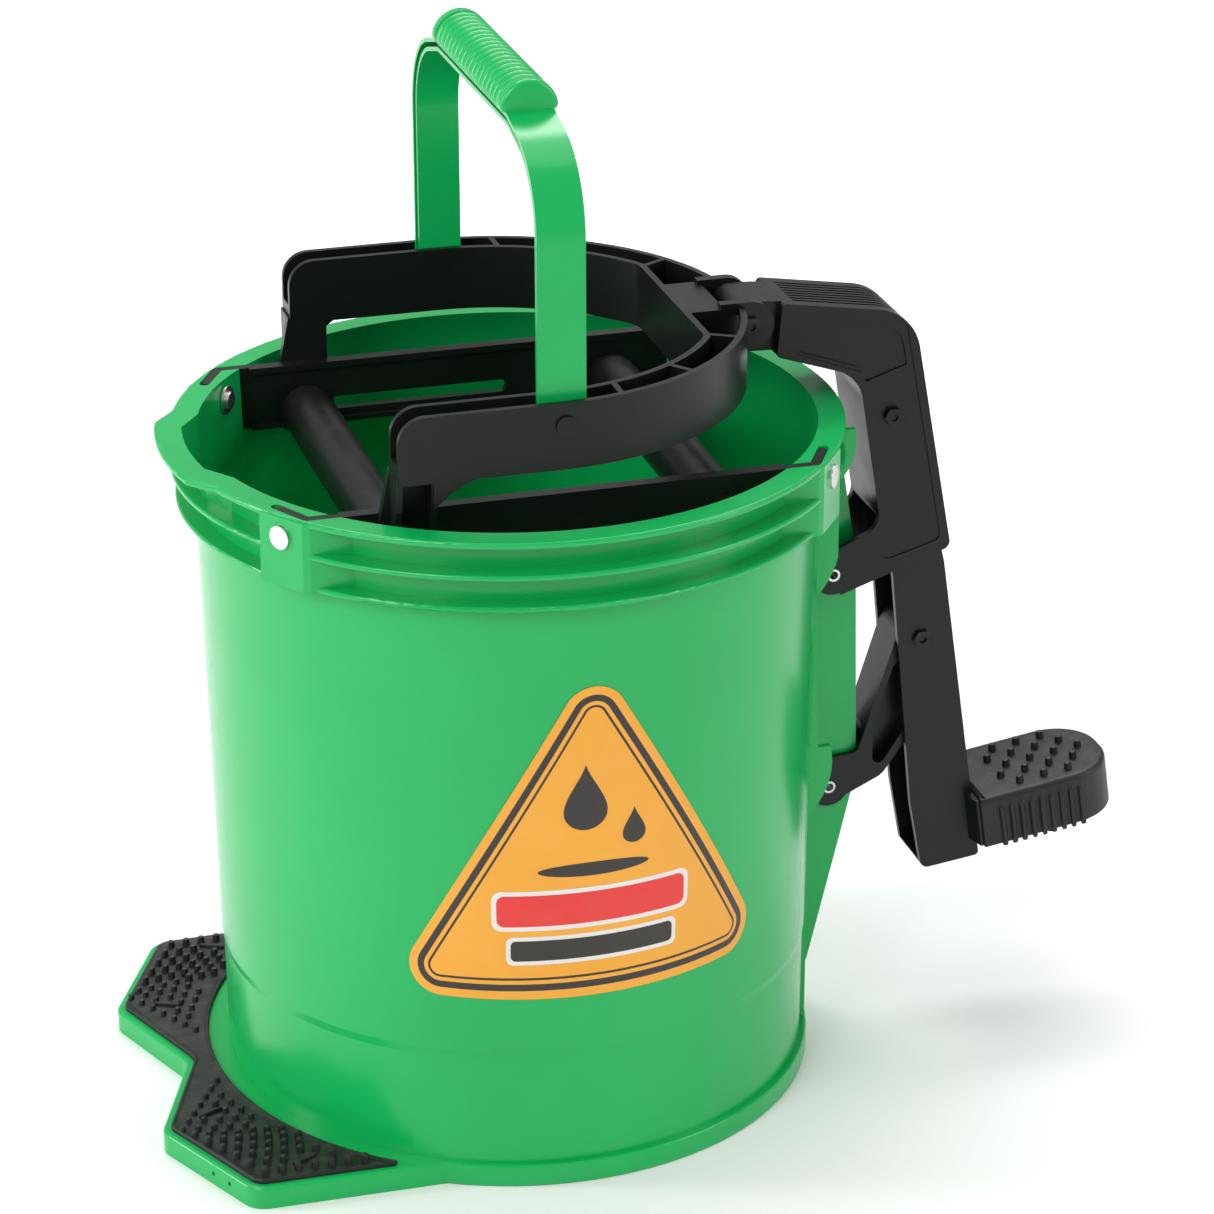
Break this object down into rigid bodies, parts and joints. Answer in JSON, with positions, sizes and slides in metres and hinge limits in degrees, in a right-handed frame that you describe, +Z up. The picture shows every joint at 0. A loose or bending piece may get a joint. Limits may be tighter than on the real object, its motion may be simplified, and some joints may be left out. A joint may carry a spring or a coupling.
{
  "type": "mop bucket with roller wringer",
  "caption": "Round plastic mop bucket with a pedal-worked roller wringer, folding carrying handle and studded foot plate.",
  "frame": {"origin": "on the floor, at the middle of the whole object's footprint", "axes": "+X from the foot plate to the pedal, +Y to the back, +Z up"},
  "size_m": [0.4744, 0.3006, 0.4845],
  "materials": {
    "green_nylon": "glossy injection-moulded green nylon",
    "black_nylon": "satin moulded black nylon",
    "black_rubber": "moulded black rubber with studs",
    "bright_steel": "plain bright steel",
    "black_steel": "blackened steel",
    "amber_label": "printed amber label with a charcoal border"
  },
  "bodies": {
    "bucket": {"bucket_body": "green_nylon", "foot_pad": "black_rubber", "caution_label": "amber_label", "front_rail": "black_nylon", "rear_rail": "black_nylon", "rail_rivets": "bright_steel", "rivet_washers": "bright_steel", "fixed_roller_axle": "bright_steel", "lever_pivot_pin": "bright_steel", "link_pivot_pin": "bright_steel", "lever_pivot_spacers": "black_nylon", "return_springs": "bright_steel"},
    "fixed_roller_turning": {"fixed_roller": "black_nylon", "fixed_roller_plugs": "black_nylon"},
    "yoke": {"wringer_yoke": "black_nylon", "squeeze_roller_axle": "bright_steel", "handle_pins": "black_nylon", "yoke_pivot_bolt": "black_steel", "yoke_pivot_nut": "black_steel"},
    "squeeze_roller_turning": {"squeeze_roller": "black_nylon", "squeeze_roller_plugs": "black_nylon"},
    "lever": {"gooseneck_lever": "black_nylon", "arm_pivot_bolt": "black_steel", "arm_pivot_nut": "black_steel"},
    "pedal": {"pedal_arm": "black_nylon", "pedal_cover": "black_rubber", "link_bolt": "black_steel", "link_nut": "black_steel"},
    "link_body": {"link": "black_nylon"},
    "handle": {"carrying_handle": "green_nylon", "handle_grip": "green_nylon"}
  },
  "joints": [
    {"name": "lever_pivot", "type": "hinge", "parent": "bucket", "child": "lever", "pos_m": [0.08995, 0, 0.2265], "axis": [0, 1, 0], "range_deg": [0, 38], "stiffness_Nm_per_rad": 1.6, "springref_deg": -20.05},
    {"name": "yoke_slide", "type": "slide", "parent": "bucket", "child": "yoke", "axis": [1, 0, 0], "range_m": [-0.0005, 0.087]},
    {"name": "pedal_pivot", "type": "hinge", "parent": "lever", "child": "pedal", "pos_m": [0.11685, 0, 0.3014], "axis": [0, 1, 0], "range_deg": [-34.5, 0.5]},
    {"name": "link_pivot", "type": "hinge", "parent": "bucket", "child": "link_body", "pos_m": [0.09255, 0, 0.1153], "axis": [0, 1, 0], "range_deg": [-0.5, 32.5]},
    {"name": "handle_fold", "type": "hinge", "parent": "yoke", "child": "handle", "pos_m": [-0.06285, 0, 0.3504], "axis": [0, 1, 0], "range_deg": [-90, 0]},
    {"name": "fixed_roller_spin", "type": "hinge", "parent": "bucket", "child": "fixed_roller_turning", "pos_m": [0.01535, 0, 0.2925], "axis": [0, 1, 0], "continuous": true},
    {"name": "squeeze_roller_spin", "type": "hinge", "parent": "yoke", "child": "squeeze_roller_turning", "pos_m": [-0.13065, 0, 0.2925], "axis": [0, 1, 0], "continuous": true}
  ],
  "couplings": [
    {"joint": "yoke_slide", "follows": "lever_pivot", "m_per_rad": 0.12967},
    {"joint": "pedal_pivot", "follows": "lever_pivot", "ratio": -0.875},
    {"joint": "link_pivot", "follows": "lever_pivot", "ratio": 0.83}
  ]
}
